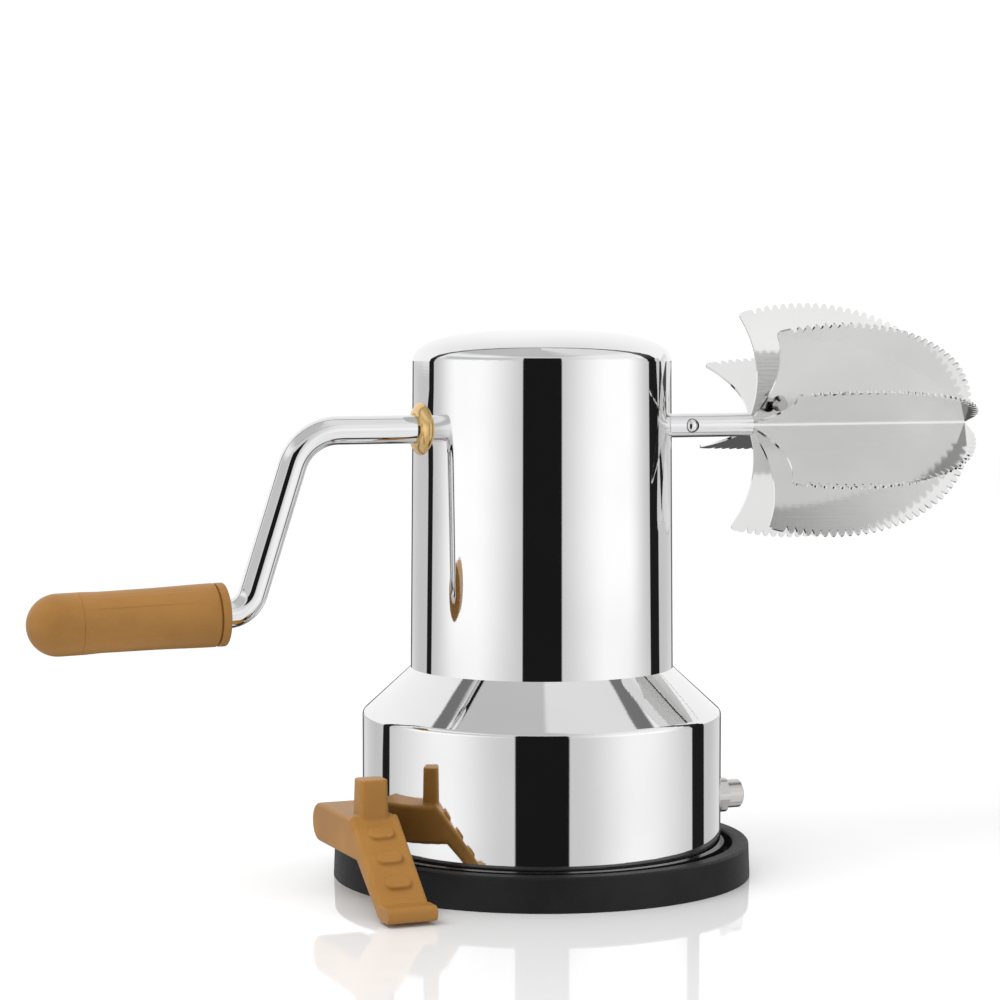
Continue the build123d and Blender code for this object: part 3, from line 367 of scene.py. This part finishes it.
def moulded(name, dark, light, roughness, grain, depth, specular):
    """Moulded plastic or rubber: cloudy colour and a fine grain in the surface."""
    material = bpy.data.materials.new(name)
    material.use_nodes = True
    graph = Graph(material.node_tree)
    place = graph.node("TexCoord").outputs["Object"]
    clouds = graph.node("TexNoise", {"Vector": place, "Scale": PLASTIC_CLOUDS, "Detail": 3.0})
    specks = graph.node("TexNoise", {"Vector": place, "Scale": grain, "Detail": 4.0, "Roughness": 0.6})
    large = graph.math("MULTIPLY", clouds.outputs["Fac"], 0.7)
    blend = graph.math("ADD", large, graph.math("MULTIPLY", specks.outputs["Fac"], 0.3))
    colour = graph.colour_mix(graph.step(blend, 0.35, 0.65), (*dark, 1), (*light, 1))
    shine = graph.step(specks.outputs["Fac"], 0.3, 0.7, roughness * 0.85, roughness * 1.1)
    relief = {"Height": specks.outputs["Fac"], "Strength": depth, "Distance": BUMP_DISTANCE}
    bump = graph.node("Bump", relief).outputs[0]
    look = {"Base Color": colour, "Roughness": shine, "Normal": bump, "Specular IOR Level": specular}
    shader = graph.node("BsdfPrincipled", look)
    graph.node("OutputMaterial", {"Surface": shader.outputs[0]})
    return material


METALS = {
    "polished_steel": {"tint": (0.88, 0.88, 0.885), "roughness": 0.03, "grain": 900,
                       "stretch": (0.05, 0.05, 4.0), "depth": 0.01},
    "satin_steel": {"tint": (0.84, 0.84, 0.85), "roughness": 0.16, "grain": 1500,
                    "stretch": (3.0, 0.1, 0.1), "depth": 0.05},
    "nut_steel": {"tint": (0.62, 0.61, 0.60), "roughness": 0.2, "grain": 1500,
                  "stretch": (3.0, 0.1, 0.1), "depth": 0.06},
    "blade_steel": {"tint": (0.86, 0.86, 0.855), "roughness": 0.07, "grain": 1200,
                    "stretch": (0.06, 3.0, 3.0), "depth": 0.03},
    "zinc_steel": {"tint": (0.72, 0.73, 0.76), "roughness": 0.3, "grain": 900,
                   "stretch": (1.0, 1.0, 1.0), "depth": 0.05},
    "brass": {"tint": (0.86, 0.58, 0.25), "roughness": 0.22, "grain": 1500,
              "stretch": (3.0, 0.1, 0.1), "depth": 0.04},
}

PLASTICS = {
    "mustard_plastic": {"dark": (0.325, 0.150, 0.026), "light": (0.385, 0.182, 0.034),
                        "roughness": 0.42, "grain": 1400, "depth": 0.12, "specular": 0.35},
    # A darker copy of the mustard plastic for the grip: painted shade, standing in for the grip getting
    # less light than the lever.
    "grip_painted_shade_plastic": {"dark": (0.285, 0.132, 0.025), "light": (0.335, 0.158, 0.032),
                     "roughness": 0.45, "grain": 1400, "depth": 0.2, "specular": 0.35},
    "rubber": {"dark": (0.010, 0.010, 0.0105), "light": (0.015, 0.015, 0.0155),
               "roughness": 0.5, "grain": 1600, "depth": 0.2, "specular": 0.15},
    "black_plastic": {"dark": (0.006, 0.006, 0.006), "light": (0.010, 0.010, 0.010),
                      "roughness": 0.3, "grain": 1600, "depth": 0.1, "specular": 0.3},
    "bush_plastic": {"dark": (0.78, 0.78, 0.75), "light": (0.85, 0.85, 0.82),
                     "roughness": 0.4, "grain": 1200, "depth": 0.1, "specular": 0.5},
}

OWN_FINISH = {
    "lever_nut": "nut_steel",
    "lever_end_nut": "nut_steel",
    "lever_washer": "nut_steel",
    "blade_rivet": "nut_steel",
    # The grip's parts take the darker copy of the mustard plastic: painted shade.
    "grip_flange": "grip_painted_shade_plastic",
    "grip_sleeve": "grip_painted_shade_plastic",
    "grip_end_cap": "grip_painted_shade_plastic",
}


def make_materials():
    materials = {name: steel(name, **look) for name, look in METALS.items()}
    materials.update({name: moulded(name, **look) for name, look in PLASTICS.items()})
    return materials


def paint_cad_nodes(materials):
    """Every CAD node that is shown gets the finish of its slot in the record, or its own shade of it; the
    grip's parts get a darker copy of the mustard plastic, which is painted shade.
    """
    for part in frame["record"]["subparts"]:
        node = frame["nodes"][part["node"]]
        node.data.materials.clear()
        node.data.materials.append(materials[OWN_FINISH.get(part["node"], part["material_slot"])])


# --- Pieces --------------------------------------------------------------------------------------


def soften(node, voxel, rounds):
    """Rounds every edge of a moulded CAD node."""
    part = frame["nodes"][node]
    part.modifiers.new("join", "WELD").merge_threshold = WELD_DISTANCE
    remesh = part.modifiers.new("even", "REMESH")
    remesh.mode = "VOXEL"
    remesh.voxel_size = voxel
    remesh.use_smooth_shade = True
    smooth = part.modifiers.new("round", "SMOOTH")
    smooth.factor = 0.5
    smooth.iterations = rounds


def grip_joint():
    joint = next(j for j in frame["joints"] if j["name"] == "grip_spin")
    return Vector(joint["pos_m"]), Vector(joint["axis"]).normalized()


def ramp(value, start, run):
    """A straight change from 0 to 1 over a run from start."""
    return min(max((value - start) / run, 0), 1)


def flat_depth(angle, share):
    """How deep the sleeve's long flats are cut, by angle round the grip and share of its length."""
    off = abs((math.degrees(angle) + 45) % 90 - 45)
    across = ramp(FLAT_HALF_ANGLE - off, 0, FLAT_EDGE_ANGLE)
    fade = 1 - ramp(share, FLAT_FADE, FLAT_FADE_RUN)
    return FLAT_DEPTH * across * ramp(share, FLAT_START, FLAT_START_RUN) * fade


def measure_sleeve(centre, axis):
    """The CAD sleeve's start and length on the grip's axis, its radius at each end and its bore."""
    spots = []
    for vertex in frame["nodes"]["grip_sleeve"].data.vertices:
        offset = vertex.co - centre
        along = offset.dot(axis)
        spots.append((along, (offset - axis * along).length))
    start, end = min(spots)[0], max(spots)[0]
    first = max(radius for along, radius in spots if along < start + MM)
    last = max(radius for along, radius in spots if along > end - MM)
    bore = min(radius for along, radius in spots)
    return start, end - start, first, last, bore


def soft_edge(turn):
    """How far a soft edge stands back from the corner, along and across, at a turn round it."""
    return SLEEVE_EDGE * (1 - math.cos(turn)), SLEEVE_EDGE * (1 - math.sin(turn))


def sleeve_profile(length, first, last, bore):
    """The sleeve's half section as places along it and radii."""
    profile = [(0.0, bore), (0.0, first - GROOVE_DEPTH), (GROOVE_WIDTH, first - GROOVE_DEPTH)]
    for turn in (0.1, *EDGE_TURNS):
        back, down = soft_edge(turn)
        profile.append((GROOVE_WIDTH + back, first - down))
    smooth_start = GROOVE_WIDTH + SLEEVE_EDGE
    smooth_length = length - smooth_start - SLEEVE_EDGE
    for i in range(SLEEVE_STEPS + 1):
        share = i / SLEEVE_STEPS
        profile.append((smooth_start + smooth_length * share, first + (last - first) * share))
    for turn in EDGE_TURNS:
        down, back = soft_edge(turn)
        profile.append((length - back, last - down))
    return profile + [(length, last - SLEEVE_EDGE), (length, bore)]


def make_grip_sleeve(material):
    """The grip's sleeve with four shallow flats and softened ends."""
    centre, axis = grip_joint()
    start, length, first, last, bore = measure_sleeve(centre, axis)
    side = axis.cross(Vector((0, 0, 1))).normalized()
    top = side.cross(axis)
    mesh = bmesh.new()
    rings = []
    for along, radius in sleeve_profile(length, first, last, bore):
        outside = radius > first - MM
        ring = []
        for k in range(SLEEVE_TURNS):
            angle = 2 * math.pi * k / SLEEVE_TURNS
            cut = flat_depth(angle + math.pi / 2, 1 - along / length) if outside else 0.0
            outward = side * math.cos(angle) + top * math.sin(angle)
            ring.append(mesh.verts.new(centre + axis * (start + along) + outward * (radius - cut)))
        rings.append(ring)
    for near, far in zip(rings, rings[1:] + rings[:1]):
        for k in range(SLEEVE_TURNS):
            n = (k + 1) % SLEEVE_TURNS
            mesh.faces.new((near[k], near[n], far[n], far[k]))
    bmesh.ops.recalc_face_normals(mesh, faces=mesh.faces)
    data = bpy.data.meshes.new("grip_sleeve_skin")
    mesh.to_mesh(data)
    mesh.free()
    data.shade_smooth()
    data.materials.append(material)
    skin = bpy.data.objects.new("grip_sleeve_skin", data)
    bpy.context.scene.collection.objects.link(skin)
    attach(skin, "grip")
    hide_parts("grip_sleeve")


# --- Build ---------------------------------------------------------------------------------------

make_camera()
make_sky()
make_floor()
make_lamp("key_lamp", bearing=-50, elevation=55, distance=1.6, size=0.9, power=9.0)
bpy.context.scene.view_settings.view_transform = "Standard"
MATERIALS = make_materials()
paint_cad_nodes(MATERIALS)
soften("lever_handle", HANDLE_VOXEL, HANDLE_ROUNDS)
make_grip_sleeve(MATERIALS["grip_painted_shade_plastic"])
